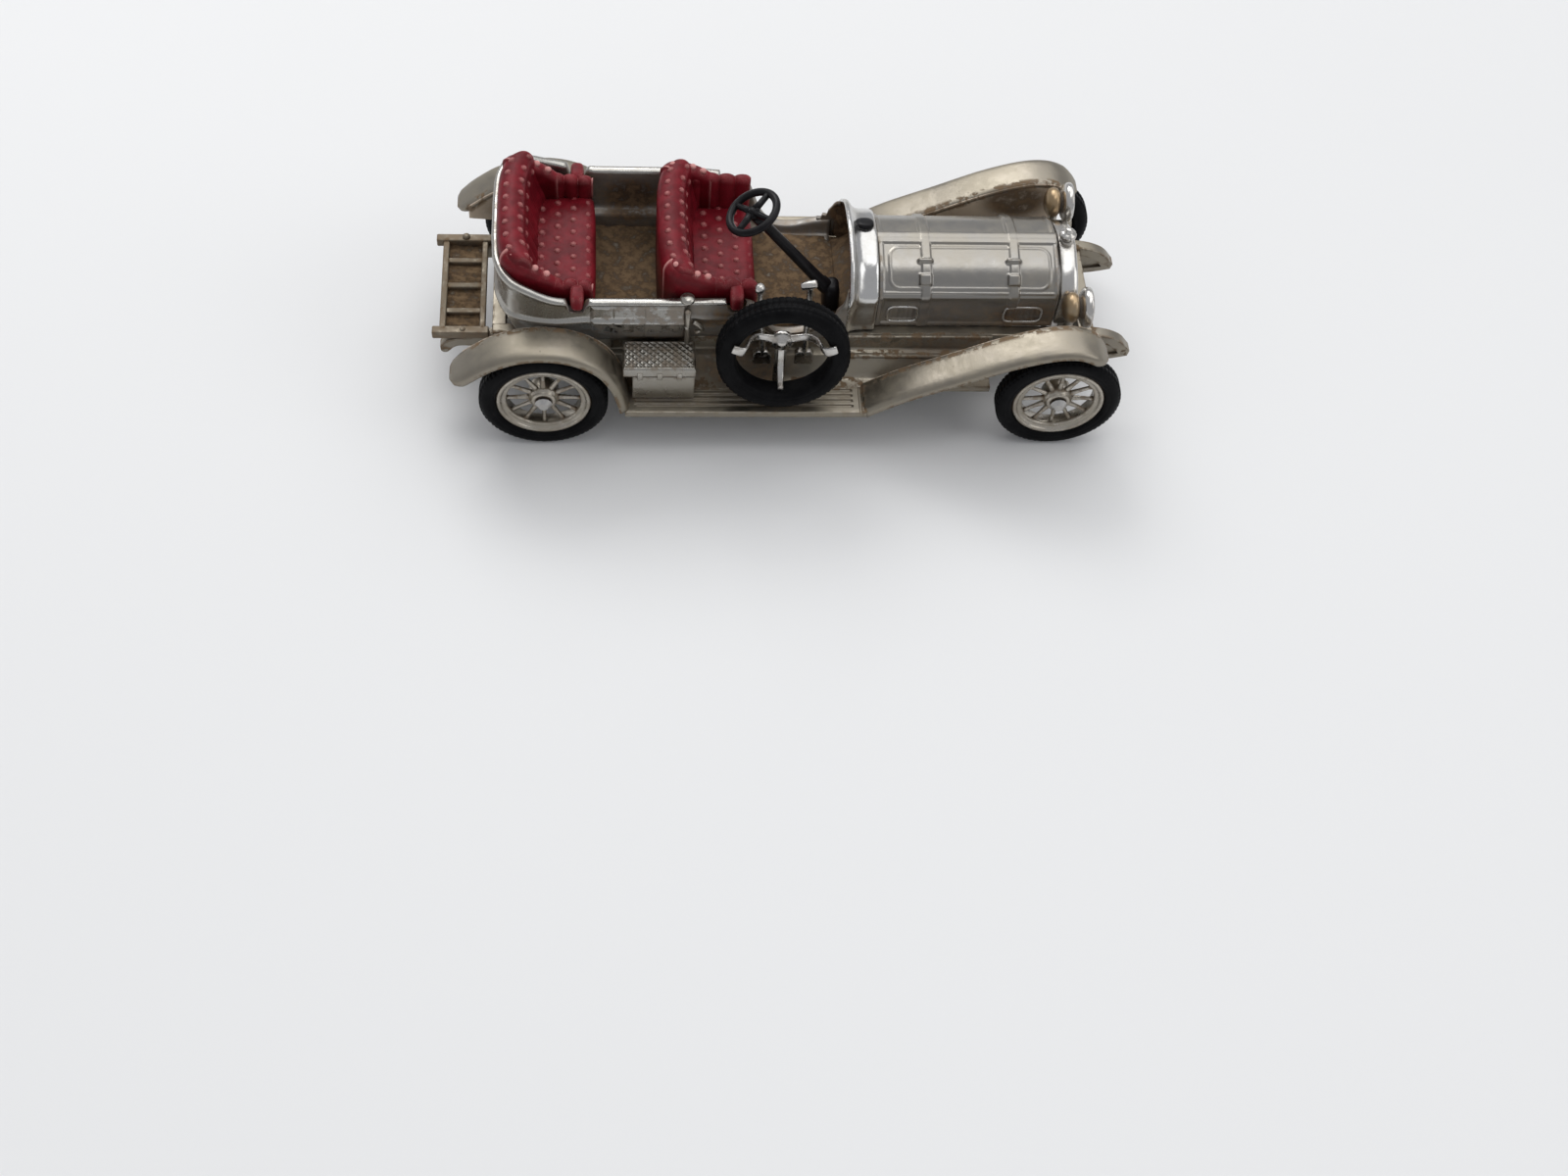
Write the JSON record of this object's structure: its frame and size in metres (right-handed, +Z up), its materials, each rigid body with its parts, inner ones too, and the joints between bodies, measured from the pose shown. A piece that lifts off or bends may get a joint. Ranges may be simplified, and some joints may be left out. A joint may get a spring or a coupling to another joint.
{
  "type": "diecast collector car",
  "caption": "Small plated vintage open touring car figurine with free-rolling spoked wheels, buttoned bench seats, spare tyre, toolbox and rear luggage rack.",
  "frame": {"origin": "on the ground under the wheels, at the middle of the overall length and width", "axes": "+X forward, towards the radiator; +Y the car's left; +Z up"},
  "size_m": [0.0908, 0.0346, 0.032],
  "materials": {
    "plated_metal": "bright vacuum plating on a zinc casting, worn and tarnished",
    "grimy_plated_metal": "the same plating under brown grime",
    "steel": "bare drawn and pressed steel",
    "red_plastic": "glossy dark red moulding",
    "black_plastic": "semi-gloss black moulding",
    "tyre": "matt black moulded tyre with a serrated tread"
  },
  "bodies": {
    "car": {"chassis": "plated_metal", "body_tub": "plated_metal", "scuttle": "plated_metal", "bonnet": "plated_metal", "radiator_shell": "plated_metal", "radiator_cap": "plated_metal", "headlamp_left": "plated_metal", "headlamp_right": "plated_metal", "handbrake_lever": "plated_metal", "gear_lever": "plated_metal", "spare_carrier": "plated_metal", "toolbox": "plated_metal", "radiator_core": "grimy_plated_metal", "luggage_rack": "grimy_plated_metal", "base_plate": "steel", "rivet_rear": "steel", "rivet_front": "steel", "axle_front": "steel", "axle_rear": "steel", "rear_seat": "red_plastic", "front_seat": "red_plastic", "scuttle_plug": "black_plastic", "steering_column": "black_plastic", "steering_wheel": "black_plastic", "spare_tyre": "tyre"},
    "front_left_wheel": {"wheel_front_left": "plated_metal", "tyre_front_left": "tyre"},
    "front_right_wheel": {"wheel_front_right": "plated_metal", "tyre_front_right": "tyre"},
    "rear_left_wheel": {"wheel_rear_left": "plated_metal", "tyre_rear_left": "tyre"},
    "rear_right_wheel": {"wheel_rear_right": "plated_metal", "tyre_rear_right": "tyre"}
  },
  "joints": [
    {"name": "front_left_wheel_spin", "type": "hinge", "parent": "car", "child": "front_left_wheel", "pos_m": [0.0349, 0.0155, 0.00815], "axis": [0, 1, 0], "continuous": true},
    {"name": "front_right_wheel_spin", "type": "hinge", "parent": "car", "child": "front_right_wheel", "pos_m": [0.0349, -0.0155, 0.00815], "axis": [0, 1, 0], "continuous": true},
    {"name": "rear_left_wheel_spin", "type": "hinge", "parent": "car", "child": "rear_left_wheel", "pos_m": [-0.0314, 0.0155, 0.00815], "axis": [0, 1, 0], "continuous": true},
    {"name": "rear_right_wheel_spin", "type": "hinge", "parent": "car", "child": "rear_right_wheel", "pos_m": [-0.0314, -0.0155, 0.00815], "axis": [0, 1, 0], "continuous": true}
  ]
}
